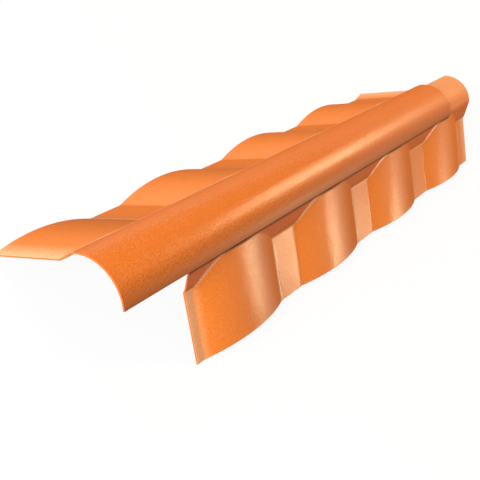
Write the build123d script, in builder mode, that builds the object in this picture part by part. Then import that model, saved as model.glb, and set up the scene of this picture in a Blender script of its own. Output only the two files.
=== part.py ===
import os
from math import acos, cos, degrees, radians, sin, sqrt, tan

from build123d import *

# Roof sheet the tile lies on: round waves with flat pans between them, in millimetres
wave_pitch = 205
wave_count = 4
pan_width = 50
wave_height = 13

# Plastic sheet
sheet_thickness = 2
foot_radius = 4

# Ridge, with angles in degrees
wing_slope = 45
axis_height = 58
dam_angle = 24
dam_turn_share = 0.6

# Upper half: left wing and cap
cap_radius = 46
cap_crest_drop = 1
upper_wave_start = -22

# Lower half: right wing and the roll under the cap
nest_gap = 0.3
cap_edge_gap = 0.5
roll_crest_drop = 0.8
roll_edge_back = 5
lower_wave_start = 12
half_stagger = 100

# Room the cutting shapes run past the sheet
overrun = 20
overrun_angle = 8

half_length = wave_count * wave_pitch
wave_half_chord = (wave_pitch - pan_width) / 2
wave_radius = (wave_half_chord**2 + wave_height**2) / (2 * wave_height)
roll_radius = cap_radius - sheet_thickness - nest_gap
upper_crest = cap_radius - cap_crest_drop
lower_crest = roll_radius - roll_crest_drop
slope_cos = cos(radians(wing_slope))
slope_sin = sin(radians(wing_slope))
along_ridge = (0, 1, 0)

# The cap ends where its inner corner just clears the lower half's crests
cap_edge_turn = degrees(acos((lower_crest + cap_edge_gap) / (cap_radius - sheet_thickness)))
cap_end = 90 + 2 * wing_slope + cap_edge_turn
roll_end = 90 + 2 * wing_slope - roll_edge_back

# The steep faces start a little way in under the cap
dam_turn = dam_turn_share * cap_edge_turn


def wing_reach(crest):
    """Distance down the slope from the ridge axis to the wing's edge on the floor."""
    pan_underside = crest - wave_height - sheet_thickness
    return (axis_height + pan_underside * slope_cos) / slope_sin


def half_width(crest):
    return wing_reach(crest) * slope_cos + crest * slope_sin


axis_across = (half_width(upper_crest) - half_width(lower_crest)) / 2
upper_start = -(half_length + half_stagger) / 2
lower_start = upper_start + half_stagger


def polar(radius, angle):
    return (radius * cos(radians(angle)), radius * sin(radians(angle)))


def on_arc(centre, radius, toward):
    across = toward[0] - centre[0]
    up = toward[1] - centre[1]
    span = sqrt(across**2 + up**2)
    return (centre[0] + radius * across / span, centre[1] + radius * up / span)


def middle(first, second):
    return ((first[0] + second[0]) / 2, (first[1] + second[1]) / 2)


def roll_outline(radius, crest, inset, end_angle, floor):
    """Roll and the steep face under it, across the ridge: x down the slope, y out of the wing."""
    sheet_radius = radius - inset
    pan = crest - wave_height - inset
    dam_distance = radius * cos(radians(dam_angle - dam_turn)) - inset
    dam_top_angle = 90 - dam_angle + degrees(acos(dam_distance / sheet_radius))
    dam_top = polar(sheet_radius, dam_top_angle)
    dam_foot = (dam_top[0] + (dam_top[1] - pan) / tan(radians(dam_angle)), pan)
    crown = polar(sheet_radius, (dam_top_angle + end_angle) / 2)
    end = polar(sheet_radius, end_angle)
    Polyline((0, floor), dam_foot, dam_top)
    ThreePointArc(dam_top, crown, end)
    Line(end, (0, floor))


def wave_outline(crest, inset, wave_start, floor):
    """Waves and pans of a wing, across the slope: x along the ridge, y out of the wing."""
    pan = crest - wave_height
    wave_centre_level = crest - wave_radius
    foot_level = pan + foot_radius
    foot_reach = sqrt((wave_radius + foot_radius) ** 2 - (foot_level - wave_centre_level) ** 2)
    sheet_pan = pan - inset
    sheet_wave_radius = wave_radius - inset
    sheet_foot_radius = foot_radius + inset
    first = min(wave_start, 0) - overrun
    corner = (first, sheet_pan)
    Line((first, floor), corner)
    for wave in range(wave_count + 1):
        centre = (wave_start + wave * wave_pitch + wave_half_chord, wave_centre_level)
        near_foot = (centre[0] - foot_reach, foot_level)
        far_foot = (centre[0] + foot_reach, foot_level)
        near_pan = (near_foot[0], sheet_pan)
        far_pan = (far_foot[0], sheet_pan)
        near_join = on_arc(centre, sheet_wave_radius, near_foot)
        far_join = on_arc(centre, sheet_wave_radius, far_foot)
        near_curve = on_arc(near_foot, sheet_foot_radius, middle(near_pan, near_join))
        far_curve = on_arc(far_foot, sheet_foot_radius, middle(far_pan, far_join))
        Line(corner, near_pan)
        ThreePointArc(near_pan, near_curve, near_join)
        ThreePointArc(near_join, (centre[0], wave_centre_level + sheet_wave_radius), far_join)
        ThreePointArc(far_join, far_curve, far_pan)
        corner = far_pan
    Polyline(corner, (corner[0], floor), (first, floor))


def make_half(side, start, radius, crest, end_angle, wave_start):
    """One half of the tile, as a full form less its hollow; side is -1 on the left and 1 on the right."""
    ridge = Vector(*along_ridge)
    down_slope = (side * slope_cos, 0, -slope_sin)
    wing_normal = Vector(side * slope_sin, 0, slope_cos)
    near_end = Vector(axis_across, start, axis_height)
    section = Plane(near_end, x_dir=down_slope, z_dir=(0, -side, 0))
    hollow_section = Plane(near_end - ridge * overrun, x_dir=down_slope, z_dir=(0, -side, 0))
    slope_section = Plane(near_end, x_dir=along_ridge, z_dir=ridge.cross(wing_normal))
    reach = wing_reach(crest)
    with BuildPart() as half:
        with BuildSketch(section):
            with BuildLine():
                roll_outline(radius, crest, 0, end_angle, 0)
            make_face()
        extrude(amount=half_length, dir=along_ridge)
        with BuildSketch(slope_section):
            with BuildLine():
                wave_outline(crest, 0, wave_start, 0)
            make_face()
            Rectangle(half_length, radius, align=(Align.MIN, Align.MIN), mode=Mode.INTERSECT)
        extrude(amount=reach, dir=down_slope)
        with BuildSketch(hollow_section):
            with BuildLine():
                roll_outline(radius, crest, sheet_thickness, end_angle + overrun_angle, -2 * overrun)
            make_face()
        extrude(amount=half_length + 2 * overrun, dir=along_ridge, mode=Mode.SUBTRACT)
        with BuildSketch(slope_section):
            with BuildLine():
                wave_outline(crest, sheet_thickness, wave_start, -overrun)
            make_face()
        extrude(amount=reach + overrun, dir=down_slope, mode=Mode.SUBTRACT)
    return half


upper_half = make_half(-1, upper_start, cap_radius, upper_crest, cap_end, upper_wave_start)
upper_half.part.label = "upper_half"
lower_half = make_half(1, lower_start, roll_radius, lower_crest, roll_end, lower_wave_start)
lower_half.part.label = "lower_half"

os.makedirs("parts", exist_ok=True)
export_step(upper_half.part, "parts/upper_half.step")
export_step(lower_half.part, "parts/lower_half.step")
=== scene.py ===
from collections import namedtuple
from math import acos, cos, pi, radians, sin, sqrt, tan

import bmesh
import bpy
from bpy.props import FloatProperty, FloatVectorProperty, IntProperty, PointerProperty
from mathutils import Matrix, Vector


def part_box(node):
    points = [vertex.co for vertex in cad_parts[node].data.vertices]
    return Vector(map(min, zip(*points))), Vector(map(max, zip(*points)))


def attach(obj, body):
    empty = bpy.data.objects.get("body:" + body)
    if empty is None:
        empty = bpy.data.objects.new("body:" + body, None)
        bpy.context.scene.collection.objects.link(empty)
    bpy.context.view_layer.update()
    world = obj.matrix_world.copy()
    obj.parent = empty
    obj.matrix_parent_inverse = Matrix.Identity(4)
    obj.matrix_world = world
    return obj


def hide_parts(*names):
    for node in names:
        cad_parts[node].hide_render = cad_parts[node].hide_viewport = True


bl_info = {
    "name": "Ridge tile",
    "version": (1, 0, 0),
    "blender": (4, 5, 0),
    "location": "View3D > Sidebar > Ridge tile",
    "description": "Presses the two sheets of a wavy plastic ridge tile and lights them",
    "category": "Object",
}

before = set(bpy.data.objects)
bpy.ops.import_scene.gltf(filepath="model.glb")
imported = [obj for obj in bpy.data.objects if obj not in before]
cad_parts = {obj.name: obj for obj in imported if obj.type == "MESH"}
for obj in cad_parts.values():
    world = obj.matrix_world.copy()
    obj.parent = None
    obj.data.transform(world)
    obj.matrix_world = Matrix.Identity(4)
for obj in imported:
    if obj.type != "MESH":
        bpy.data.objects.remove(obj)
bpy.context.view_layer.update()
upper_low, upper_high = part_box("upper_half")
lower_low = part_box("lower_half")[0]

MM = 0.001

# Tones of painted light and shade that each sheet carries at its vertices, from 0 to 1: painted shade,
# painted highlight lines, painted sheen and painted shade at the cap's free edge
TONES = ("painted_shade", "painted_highlight", "painted_sheen", "painted_edge_shade")

# One half of the tile: side is -1 on the left and 1 on the right, start is its near end
Half = namedtuple("Half", "side start radius crest end_angle wave_start")

# Soft lights: metres and watts
LIGHT_AIM = (0, 0, 0.06)
SOFTBOXES = (
    dict(name="key_softbox", place=(-0.15, -4.0, 1.26), width=2.0, height=1.4, power=316, tint="#FFFFFF"),
    dict(name="left_softbox", place=(-3.4, 0.2, 2.0), width=2.0, height=2.0, power=38, tint="#FFFFFF"),
    dict(name="low_back_softbox", place=(2.4, 3.6, 0.36), width=0.4, height=0.45, power=34, tint="#FFE6B4"),
    dict(name="high_back_softbox", place=(0.28, 1.8, 1.28), width=0.6, height=0.25, power=18, tint="#FFE6B4"),
)
WORLD_LIGHT = 0.24

TABLE_RADIUS = 30.0
TABLE_RIM = 10.0
TABLE_SIDES = 64
TABLE_DROP = 0.5 * MM

CAMERA_PLACE = (0.20486, -0.93255, 0.60161)
CAMERA_TURN = 14.31
CAMERA_DIP = 37.2
CAMERA_ROLL = 36.14
CAMERA_LENS = 61.19
CAMERA_SENSOR = 36
LEVEL_TILT = 90

# The Mix node's colour result, which shares its name with other sockets
MIX_COLOUR = 2


def linear(hex_colour):
    """Turns an sRGB hex colour into linear red, green, blue and a full alpha."""
    full_byte = 255
    toe_end = 0.04045
    toe_slope = 12.92
    offset = 0.055
    power = 2.4
    channels = [int(hex_colour[place : place + 2], 16) / full_byte for place in (1, 3, 5)]
    light = [c / toe_slope if c <= toe_end else ((c + offset) / (1 + offset)) ** power for c in channels]
    return light + [1.0]


def length(name, description, default):
    return FloatProperty(name=name, description=description, default=default, unit="LENGTH")


def angle(name, description, default):
    return FloatProperty(name=name, description=description, default=radians(default), subtype="ANGLE")


def share(name, description, default):
    return FloatProperty(name=name, description=description, default=default, subtype="FACTOR", min=0, max=1)


def count(name, description, default):
    return IntProperty(name=name, description=description, default=default, min=1)


def colour(name, description, default):
    return FloatVectorProperty(
        name=name, description=description, default=linear(default), size=4, subtype="COLOR", min=0, max=1
    )


class SheetSizes(bpy.types.PropertyGroup):
    """Sizes of the pressed sheets, the same as the solids have, and of the painted light and shade on them"""

    wave_pitch: length("Wave pitch", "From one wave to the next along the ridge", 205 * MM)
    wave_count: count("Waves", "Waves on each wing", 4)
    pan_width: length("Pan width", "Flat strip between two waves", 50 * MM)
    wave_height: length("Wave height", "From a pan up to a crest", 13 * MM)
    thickness: length("Thickness", "Plastic sheet", 2 * MM)
    wing_slope: angle("Wing slope", "Fall of each wing", 45)
    dam_angle: angle("Dam angle", "Steep face that closes a pan under the roll", 24)
    dam_turn_share: share("Dam start", "Share of the cap's edge turn", 0.6)
    axis_height: length("Axis height", "Ridge axis above the floor", 58 * MM)
    cap_radius: length("Cap radius", "Outside of the upper half's cap", 46 * MM)
    cap_crest_drop: length("Cap crest drop", "Upper crests below the cap's outside", 1 * MM)
    upper_wave_start: length("Upper wave start", "First wave from the upper half's near end", -22 * MM)
    nest_gap: length("Nest gap", "Between the cap and the roll under it", 0.3 * MM)
    cap_edge_gap: length("Cap edge gap", "Between the cap's free edge and the lower crests", 0.5 * MM)
    roll_crest_drop: length("Roll crest drop", "Lower crests below the roll's outside", 0.8 * MM)
    roll_edge_back: angle("Roll edge", "How far the roll ends before the upper wing", 5)
    lower_wave_start: length("Lower wave start", "First wave from the lower half's near end", 12 * MM)
    roll_fillet: length("Roll fillet", "Depth over which waves and dams run into each other", 1 * MM)
    foot_fillet: length("Foot fillet", "Depth over which a wave runs into its pan", 0.9 * MM)
    # Bend depth, width and share set painted highlight lines along creases
    painted_highlight_depth: length("Bend depth", "Depth of the sheet whitened along a tight bend", 0.9 * MM)
    painted_highlight_width: length("Bend width", "Whitened strip along a straight bend", 3 * MM)
    painted_highlight_share: share("Bend share", "Whitening along a tight bend", 0.65)
    # Joint width sets the painted shadow under the cap's free edge; soiled width and share set painted shade
    # along that edge
    painted_shadow_width: length("Joint width", "Strip darkened by dirt under the cap's free edge", 5 * MM)
    painted_cap_shade_width: length("Soiled width", "Strip dulled by dirt along the cap's free edge", 26 * MM)
    painted_cap_shade_share: share("Soiled share", "Dirt on the cap's free edge", 0.45)
    # Worn width and share set a painted sheen at each end of a wing
    painted_sheen_width: length("Worn width", "Strip scuffed by handling at each end", 22 * MM)
    painted_sheen_share: share("Worn share", "Scuffing at the very end", 0.75)
    # Cap drawn is painted shade over the whole cap
    cap_painted_shade_share: share("Cap drawn", "Thinning of the cap", 0.45)
    # Roll worn is a painted sheen on the roll
    roll_painted_sheen_share: share("Roll worn", "Scuffing of the roll by the cap", 0.5)
    edge_round: length("Edge round", "Rounding of the cut edges", 0.35 * MM)
    edge_steps: count("Edge steps", "Facets round a cut edge", 2)
    edge_angle: angle("Edge angle", "Edges sharper than this are rounded", 60)
    across_cells: count("Cells across", "Mesh cells from edge to edge", 92)
    along_cells: count("Cells along", "Mesh cells along the ridge", 400)


class SheetFinish(bpy.types.PropertyGroup):
    """Colours and gloss of the plastic, and colours of the table"""

    sheet: colour("Sheet", "Coloured plastic", "#F07B27")
    # The deeper sheet is painted shade on the dams and the cap, and the base tone of the cut edge
    deep_sheet_and_painted_shade: colour("Deeper sheet", "Thinner drawn places", "#DE6414")
    grain: colour("Grain", "Raised grain that takes the light", "#F6A55C")
    # The strained sheet is the colour of painted highlight lines
    painted_highlight_colour: colour("Strained sheet", "Sheet whitened by a tight bend", "#FFE0B4")
    # The scuffed sheet is the colour of a painted sheen
    painted_sheen_colour: colour("Scuffed sheet", "Sheet rubbed pale", "#FFC692")
    # Dirt is the colour of the painted shade and painted shadow at the cap's free edge
    painted_edge_shade_colour: colour("Dirt", "Dirt gathered in the joint under the cap", "#2E1008")
    cut_edge: colour("Cut edge", "Sawn plastic, dull", "#B4622A")
    floor: colour("Floor", "White table", "#FFFFFF")
    floor_bounce: colour("Floor bounce", "Grey the table throws back on the object", "#5A5A5A")
    grain_size: length("Grain size", "Size of one grain", 2.1 * MM)
    grain_depth: length("Grain depth", "Height of one grain", 0.18 * MM)
    grain_share: share("Grain share", "Tint of the tops of the grain", 0.24)
    pit_roughness: share("Pit roughness", "Smooth plastic between the grains", 0.11)
    top_roughness: share("Top roughness", "Rubbed tops of the grain", 0.27)
    # Dirt roughness is the roughness under the painted shade at the cap's free edge
    edge_shade_roughness: share("Dirt roughness", "Where dirt lies on the sheet", 0.8)
    low_roughness: share("Low roughness", "The grain seen at a low angle", 0.8)
    gloss_share: share("Gloss share", "Specular level of the grained face", 0.18)
    refraction: FloatProperty(name="Refraction", description="Index of polypropylene", default=1.49, min=1)
    saw_mark_size: length("Saw mark size", "Spacing of the saw marks", 2 * MM)
    saw_mark_depth: length("Saw mark depth", "Depth of the saw marks", 0.3 * MM)
    saw_mark_share: share("Saw mark share", "Strength of the saw marks", 0.3)
    cut_roughness: share("Cut roughness", "Sawn edge", 0.55)
    table_glow_share: share("Table glow share", "How much of the white table shows no shadow", 0.9)


def add_node(tree, kind, settings=None, **sockets):
    """Adds a node with its settings, and sets or links its inputs, each by name or by place as _0 or _1."""
    node = tree.nodes.new(kind)
    for name, value in (settings or {}).items():
        setattr(node, name, value)
    for name, value in sockets.items():
        place = int(name[1:]) if name[0] == "_" else name.replace("_", " ")
        if isinstance(value, bpy.types.NodeSocket):
            tree.links.new(value, node.inputs[place])
        else:
            node.inputs[place].default_value = value
    return node


def new_material(name):
    material = bpy.data.materials.new(name)
    material.use_nodes = True
    material.node_tree.nodes.clear()
    return material, material.node_tree


def grained_plastic(name):
    """Pressed polypropylene sheet: satin, with a fine grain from the mould that breaks up the highlights."""
    smooth_share = 0.3
    tint_low_share = 0.25
    tint_high_share = 0.7
    rub_low_share = -0.3
    rub_high_share = 0.4
    rough_low_share = 0.2
    rough_high_share = 0.6
    facing_low_share = 0.5
    facing_high_share = 0.8
    finish = bpy.context.scene.sheet_finish
    material, tree = new_material(name)

    # The real grain is about 0.5 mm and too fine to show, so it is drawn coarser
    grain = add_node(
        tree,
        "ShaderNodeTexVoronoi",
        {"feature": "SMOOTH_F1"},
        Vector=add_node(tree, "ShaderNodeTexCoord").outputs["Object"],
        Scale=1 / finish.grain_size,
        Smoothness=smooth_share,
    )
    height = grain.outputs["Distance"]
    attributes = [add_node(tree, "ShaderNodeAttribute", {"attribute_name": tone}) for tone in TONES]
    painted_shade, painted_highlight, painted_sheen, painted_edge_shade = [attribute.outputs["Fac"] for attribute in attributes]

    # The tops of the grain are paler, and the painted sheen shows first on the grain tops
    tinted = add_node(
        tree,
        "ShaderNodeMapRange",
        Value=height,
        From_Min=tint_low_share,
        From_Max=tint_high_share,
        To_Max=finish.grain_share,
    )
    sheen_on_grain = add_node(
        tree,
        "ShaderNodeMapRange",
        Value=height,
        From_Min=rub_low_share,
        From_Max=rub_high_share,
        To_Max=painted_sheen,
    )
    # Painted shade, painted highlight lines, painted sheen and painted shade at the cap's edge are mixed into
    # the sheet's colour
    tone = finish.sheet
    for amount, coat in (
        (painted_shade, finish.deep_sheet_and_painted_shade),
        (tinted.outputs["Result"], finish.grain),
        (painted_highlight, finish.painted_highlight_colour),
        (sheen_on_grain.outputs["Result"], finish.painted_sheen_colour),
        (painted_edge_shade, finish.painted_edge_shade_colour),
    ):
        mix = add_node(tree, "ShaderNodeMix", {"data_type": "RGBA"}, _0=amount, _6=tone, _7=coat)
        tone = mix.outputs[MIX_COLOUR]

    grained = add_node(
        tree,
        "ShaderNodeMapRange",
        Value=height,
        From_Min=rough_low_share,
        From_Max=rough_high_share,
        To_Min=finish.pit_roughness,
        To_Max=finish.top_roughness,
    )
    # Roughness rises where the painted edge shade lies
    dulled = add_node(
        tree,
        "ShaderNodeMapRange",
        Value=painted_edge_shade,
        To_Min=grained.outputs["Result"],
        To_Max=finish.edge_shade_roughness,
    )
    # The grain hides most of the gloss where the sheet is seen at a low angle
    satin = add_node(
        tree,
        "ShaderNodeMapRange",
        Value=add_node(tree, "ShaderNodeLayerWeight").outputs["Facing"],
        From_Min=facing_low_share,
        From_Max=facing_high_share,
        To_Min=dulled.outputs["Result"],
        To_Max=finish.low_roughness,
    )
    bump = add_node(tree, "ShaderNodeBump", Strength=1, Distance=finish.grain_depth, Height=height)
    shader = add_node(
        tree,
        "ShaderNodeBsdfPrincipled",
        Base_Color=tone,
        Roughness=satin.outputs["Result"],
        IOR=finish.refraction,
        Specular_IOR_Level=finish.gloss_share,
        Normal=bump.outputs["Normal"],
    )
    add_node(tree, "ShaderNodeOutputMaterial", Surface=shader.outputs["BSDF"])
    return material


def cut_plastic(name):
    """Sawn edge of the same sheet: duller and rougher than its face, with saw marks."""
    finish = bpy.context.scene.sheet_finish
    material, tree = new_material(name)
    # Real saw marks are finer than 0.5 mm, so they are drawn coarser to show
    marks = add_node(
        tree,
        "ShaderNodeTexNoise",
        Vector=add_node(tree, "ShaderNodeTexCoord").outputs["Object"],
        Scale=1 / finish.saw_mark_size,
    ).outputs["Fac"]
    tone = add_node(
        tree, "ShaderNodeMix", {"data_type": "RGBA"}, _0=marks, _6=finish.deep_sheet_and_painted_shade, _7=finish.cut_edge
    )
    bump = add_node(
        tree, "ShaderNodeBump", Strength=finish.saw_mark_share, Distance=finish.saw_mark_depth, Height=marks
    )
    shader = add_node(
        tree,
        "ShaderNodeBsdfPrincipled",
        Base_Color=tone.outputs[MIX_COLOUR],
        Roughness=finish.cut_roughness,
        IOR=finish.refraction,
        Normal=bump.outputs["Normal"],
    )
    add_node(tree, "ShaderNodeOutputMaterial", Surface=shader.outputs["BSDF"])
    return material


def soft_max(first, second, depth):
    """The larger of two heights, with a fillet where they meet."""
    overlap = max(depth - abs(first - second), 0) / depth
    return max(first, second) + overlap**2 * depth / 4


def wave_level(sizes, crest, along):
    """Height of the wing out of its slope, along the ridge."""
    half_chord = (sizes.wave_pitch - sizes.pan_width) / 2
    wave_radius = (half_chord**2 + sizes.wave_height**2) / (2 * sizes.wave_height)
    from_crest = (along - half_chord + sizes.wave_pitch / 2) % sizes.wave_pitch - sizes.wave_pitch / 2
    arc = crest - wave_radius + sqrt(wave_radius**2 - from_crest**2)
    return soft_max(crest - sizes.wave_height, arc, sizes.foot_fillet)


def roll_level(sizes, radius, down):
    """Height of the roll and of the dam below it, down the slope from the ridge axis."""
    dam_turn = sizes.dam_turn_share * cap_edge_turn(sizes)
    dam = radius * cos(dam_turn) - (down - radius * sin(dam_turn)) * tan(sizes.dam_angle)
    if down >= radius:
        return dam
    return -soft_max(-dam, -sqrt(radius**2 - down**2), sizes.roll_fillet)


def wing_reach(sizes, crest):
    """Length of a wing down its slope, from the ridge axis to the floor."""
    pan_underside = crest - sizes.wave_height - sizes.thickness
    return (sizes.axis_height + pan_underside * cos(sizes.wing_slope)) / sin(sizes.wing_slope)


def half_width(sizes, crest):
    return wing_reach(sizes, crest) * cos(sizes.wing_slope) + crest * sin(sizes.wing_slope)


def half_length(sizes):
    return sizes.wave_count * sizes.wave_pitch


def roll_radius(sizes):
    return sizes.cap_radius - sizes.thickness - sizes.nest_gap


def upper_crest(sizes):
    return sizes.cap_radius - sizes.cap_crest_drop


def lower_crest(sizes):
    return roll_radius(sizes) - sizes.roll_crest_drop


def cap_edge_turn(sizes):
    """How far past the lower wing's square the cap runs before it would meet the crests."""
    return acos((lower_crest(sizes) + sizes.cap_edge_gap) / (sizes.cap_radius - sizes.thickness))


def roll_tones(sizes, half, path, roll_length):
    """The cap gets painted shade all over and more painted shade along its free edge, and the roll under it
    gets a painted sheen.
    """
    if half.side < 0:
        return {
            # Painted shade over the whole cap
            "painted_shade": sizes.cap_painted_shade_share,
            # Painted shade along the cap's free edge
            "painted_edge_shade": sizes.painted_cap_shade_share * max(1 - path / sizes.painted_cap_shade_width, 0),
        }
    # Painted sheen on the roll, fading towards the wing
    return {"painted_sheen": sizes.roll_painted_sheen_share * (1 - path / roll_length)}


def wing_tones(sizes, half, along, down, wave, roll):
    """A wing gets painted shade on its dams, painted highlight lines along some creases, a painted sheen at
    its ends, and a painted shadow under the cap's edge.
    """
    # Painted shade on the dams
    tones = {"painted_shade": min(max((roll - wave) / sizes.thickness, 0), 1), "painted_highlight": 0}
    if half.side < 0:
        # A painted highlight line along the left wing next to the cap
        dam_start = half.radius * sin(sizes.dam_turn_share * cap_edge_turn(sizes))
        tones["painted_highlight"] = sizes.painted_highlight_share * max(1 - abs(down - dam_start) / sizes.painted_highlight_width, 0)
    below_cap = down - half.radius * sin(cap_edge_turn(sizes))
    if below_cap <= 0:
        return tones
    # A painted highlight runs along a wave's far foot, and along the dams except on its far flank
    phase = (along - half.wave_start) % sizes.wave_pitch
    chord = sizes.wave_pitch - sizes.pan_width
    foot = 0 if roll > wave else 1 - abs(phase - chord) / sizes.painted_highlight_width
    crease = 0 if chord / 2 < phase < chord else 1 - abs(roll - wave) / sizes.painted_highlight_depth
    tones["painted_highlight"] = max(tones["painted_highlight"], sizes.painted_highlight_share * max(crease, foot, 0))
    # A painted sheen at each end of the wing, kept off the dams
    end_distance = min(along, half_length(sizes) - along)
    end_sheen = sizes.painted_sheen_share * max(1 - end_distance / sizes.painted_sheen_width, 0)
    tones["painted_sheen"] = end_sheen * (1 - tones["painted_shade"])
    if half.side > 0 and half.start + along < upper_high.y:
        # Solid painted shadow on the first half of the strip, then fading out
        tones["painted_edge_shade"] = min(max(2 - 2 * below_cap / sizes.painted_shadow_width, 0), 1)
    return tones


def press_half(name, half):
    """Presses a flat sheet over the form of one half, and gives it its wall and its rounded edges."""
    grid_half = 0.5
    sizes = bpy.context.scene.sheet_sizes
    axis_across = (half_width(sizes, upper_crest(sizes)) - half_width(sizes, lower_crest(sizes))) / 2
    slope_cos = cos(sizes.wing_slope)
    slope_sin = sin(sizes.wing_slope)
    roll_length = half.radius * (half.end_angle - pi / 2)
    path_length = roll_length + wing_reach(sizes, half.crest)

    form = bmesh.new()
    layers = [form.verts.layers.float.new(tone) for tone in TONES]
    bmesh.ops.create_grid(form, x_segments=sizes.across_cells, y_segments=sizes.along_cells, size=grid_half)
    for vert in form.verts:
        path = (vert.co.x + grid_half) * path_length
        along = (vert.co.y + grid_half) * half_length(sizes)
        if path < roll_length:
            turn = half.end_angle - path / half.radius
            down = half.radius * cos(turn)
            out = half.radius * sin(turn)
            tones = roll_tones(sizes, half, path, roll_length)
        else:
            down = path - roll_length
            wave = wave_level(sizes, half.crest, along - half.wave_start)
            roll = roll_level(sizes, half.radius, down)
            out = soft_max(wave, roll, sizes.roll_fillet)
            tones = wing_tones(sizes, half, along, down, wave, roll)
        for tone, layer in zip(TONES, layers):
            vert[layer] = tones.get(tone, 0)
        across = half.side * (down * slope_cos + out * slope_sin)
        height = sizes.axis_height - down * slope_sin + out * slope_cos
        vert.co = (axis_across + across, half.start + along, height)
    form.normal_update()
    top = max(form.faces, key=lambda face: face.calc_center_median().z)
    if top.normal.z < 0:
        bmesh.ops.reverse_faces(form, faces=form.faces[:])
    for face in form.faces:
        face.smooth = True
    mesh = bpy.data.meshes.new(name)
    form.to_mesh(mesh)
    form.free()
    for finish, make in (("grained_polypropylene", grained_plastic), ("cut_polypropylene_edge", cut_plastic)):
        mesh.materials.append(bpy.data.materials.get(finish) or make(finish))

    piece = bpy.data.objects.new(name, mesh)
    bpy.context.scene.collection.objects.link(piece)
    wall = piece.modifiers.new("wall", "SOLIDIFY")
    wall.thickness = sizes.thickness
    wall.offset = -1
    wall.use_even_offset = True
    wall.material_offset_rim = 1
    edge = piece.modifiers.new("edge", "BEVEL")
    edge.width = sizes.edge_round
    edge.segments = sizes.edge_steps
    edge.limit_method = "ANGLE"
    edge.angle_limit = sizes.edge_angle
    edge.harden_normals = True
    return piece


class RIDGE_OT_upper_half(bpy.types.Operator):
    """Presses the upper half: left wing and cap"""

    bl_idname = "ridge.upper_half"
    bl_label = "Upper half"

    def execute(self, context):
        sizes = context.scene.sheet_sizes
        half = Half(
            side=-1,
            start=upper_low.y,
            radius=sizes.cap_radius,
            crest=upper_crest(sizes),
            end_angle=pi / 2 + 2 * sizes.wing_slope + cap_edge_turn(sizes),
            wave_start=sizes.upper_wave_start,
        )
        piece = press_half("upper_sheet", half)
        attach(piece, "root")
        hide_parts("upper_half")
        return {"FINISHED"}


class RIDGE_OT_lower_half(bpy.types.Operator):
    """Presses the lower half: right wing and the roll under the cap"""

    bl_idname = "ridge.lower_half"
    bl_label = "Lower half"

    def execute(self, context):
        sizes = context.scene.sheet_sizes
        half = Half(
            side=1,
            start=lower_low.y,
            radius=roll_radius(sizes),
            crest=lower_crest(sizes),
            end_angle=pi / 2 + 2 * sizes.wing_slope - sizes.roll_edge_back,
            wave_start=sizes.lower_wave_start,
        )
        piece = press_half("lower_sheet", half)
        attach(piece, "root")
        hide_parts("lower_half")
        return {"FINISHED"}


def seen_white(tree):
    """One where the camera, a reflection or a clear material looks, zero for light on the object."""
    path = add_node(tree, "ShaderNodeLightPath")
    seen = path.outputs["Is Camera Ray"]
    for ray in ("Is Glossy Ray", "Is Transmission Ray"):
        either = add_node(tree, "ShaderNodeMath", {"operation": "MAXIMUM"}, _0=seen, _1=path.outputs[ray])
        seen = either.outputs["Value"]
    return seen


def white_table(name):
    """Matte table: white with a faint shadow where it is seen, grey where it lights the object from below."""
    finish = bpy.context.scene.sheet_finish
    material, tree = new_material(name)
    bounce = add_node(tree, "ShaderNodeBsdfDiffuse", Color=finish.floor_bounce)
    matte = add_node(tree, "ShaderNodeBsdfDiffuse", Color=finish.floor)
    glow = add_node(tree, "ShaderNodeEmission", Color=finish.floor, Strength=1)
    paper = add_node(
        tree,
        "ShaderNodeMixShader",
        _0=finish.table_glow_share,
        _1=matte.outputs["BSDF"],
        _2=glow.outputs["Emission"],
    )
    table = add_node(
        tree,
        "ShaderNodeMixShader",
        _0=seen_white(tree),
        _1=bounce.outputs["BSDF"],
        _2=paper.outputs["Shader"],
    )
    add_node(tree, "ShaderNodeOutputMaterial", Surface=table.outputs["Shader"])
    return material


def lay_table(scene):
    """Lays a wide round table with a rim, just under the object."""
    form = bmesh.new()
    bmesh.ops.create_circle(form, cap_ends=True, segments=TABLE_SIDES, radius=TABLE_RADIUS)
    rim = bmesh.ops.extrude_edge_only(form, edges=form.edges[:])["geom"]
    rim_verts = [part for part in rim if isinstance(part, bmesh.types.BMVert)]
    bmesh.ops.translate(form, verts=rim_verts, vec=(0, 0, TABLE_RIM))
    bmesh.ops.recalc_face_normals(form, faces=form.faces[:])
    bmesh.ops.reverse_faces(form, faces=form.faces[:])
    mesh = bpy.data.meshes.new("table")
    form.to_mesh(mesh)
    form.free()
    mesh.materials.append(white_table("white_table"))
    table = bpy.data.objects.new("table", mesh)
    scene.collection.objects.link(table)
    table.location.z = -TABLE_DROP


def light_world(scene):
    """Fills the shadows with an even white light."""
    world = bpy.data.worlds.new("studio")
    world.use_nodes = True
    world.node_tree.nodes.clear()
    fill = add_node(world.node_tree, "ShaderNodeBackground", Color=(1, 1, 1, 1), Strength=WORLD_LIGHT)
    add_node(world.node_tree, "ShaderNodeOutputWorld", Surface=fill.outputs["Background"])
    scene.world = world


def hang_softbox(scene, name, place, width, height, power, tint):
    """Hangs a rectangular soft light that faces the object."""
    lamp = bpy.data.lights.new(name, "AREA")
    lamp.color = linear(tint)[:3]
    lamp.shape = "RECTANGLE"
    lamp.size = width
    lamp.size_y = height
    lamp.energy = power
    holder = bpy.data.objects.new(name, lamp)
    scene.collection.objects.link(holder)
    holder.location = place
    holder.rotation_euler = (Vector(LIGHT_AIM) - Vector(place)).to_track_quat("-Z", "Y").to_euler()


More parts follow.
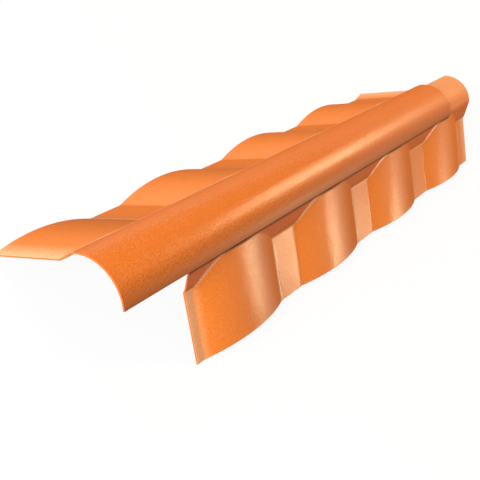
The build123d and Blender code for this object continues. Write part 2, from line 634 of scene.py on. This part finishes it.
def set_camera(scene):
    """Sets the camera at the photo's viewing angle."""
    lens = bpy.data.cameras.new("camera")
    lens.lens = CAMERA_LENS
    lens.sensor_width = CAMERA_SENSOR
    camera = bpy.data.objects.new("camera", lens)
    scene.collection.objects.link(camera)
    turn = Matrix.Rotation(radians(CAMERA_TURN), 3, "Z")
    tilt = Matrix.Rotation(radians(LEVEL_TILT - CAMERA_DIP), 3, "X")
    roll = Matrix.Rotation(radians(CAMERA_ROLL), 3, "Z")
    camera.location = CAMERA_PLACE
    camera.rotation_euler = (turn @ tilt @ roll).to_euler()
    scene.camera = camera


class RIDGE_OT_stage(bpy.types.Operator):
    """Sets the floor, the lights, the world and the camera"""

    bl_idname = "ridge.stage"
    bl_label = "Stage"

    def execute(self, context):
        scene = context.scene
        lay_table(scene)
        light_world(scene)
        for softbox in SOFTBOXES:
            hang_softbox(scene, **softbox)
        set_camera(scene)
        scene.view_settings.view_transform = "Standard"
        return {"FINISHED"}


class RIDGE_PT_panel(bpy.types.Panel):
    """Lists the pieces of the ridge tile"""

    bl_idname = "RIDGE_PT_panel"
    bl_label = "Ridge tile"
    bl_space_type = "VIEW_3D"
    bl_region_type = "UI"
    bl_category = "Ridge tile"

    def draw(self, context):
        for operator in (RIDGE_OT_upper_half, RIDGE_OT_lower_half, RIDGE_OT_stage):
            self.layout.operator(operator.bl_idname)


classes = (SheetSizes, SheetFinish, RIDGE_OT_upper_half, RIDGE_OT_lower_half, RIDGE_OT_stage, RIDGE_PT_panel)


def register():
    for kind in classes:
        bpy.utils.register_class(kind)
    bpy.types.Scene.sheet_sizes = PointerProperty(type=SheetSizes)
    bpy.types.Scene.sheet_finish = PointerProperty(type=SheetFinish)


def unregister():
    del bpy.types.Scene.sheet_finish
    del bpy.types.Scene.sheet_sizes
    for kind in reversed(classes):
        bpy.utils.unregister_class(kind)


def main():
    register()
    bpy.ops.ridge.upper_half()
    bpy.ops.ridge.lower_half()
    bpy.ops.ridge.stage()


if __name__ == "__main__":
    main()
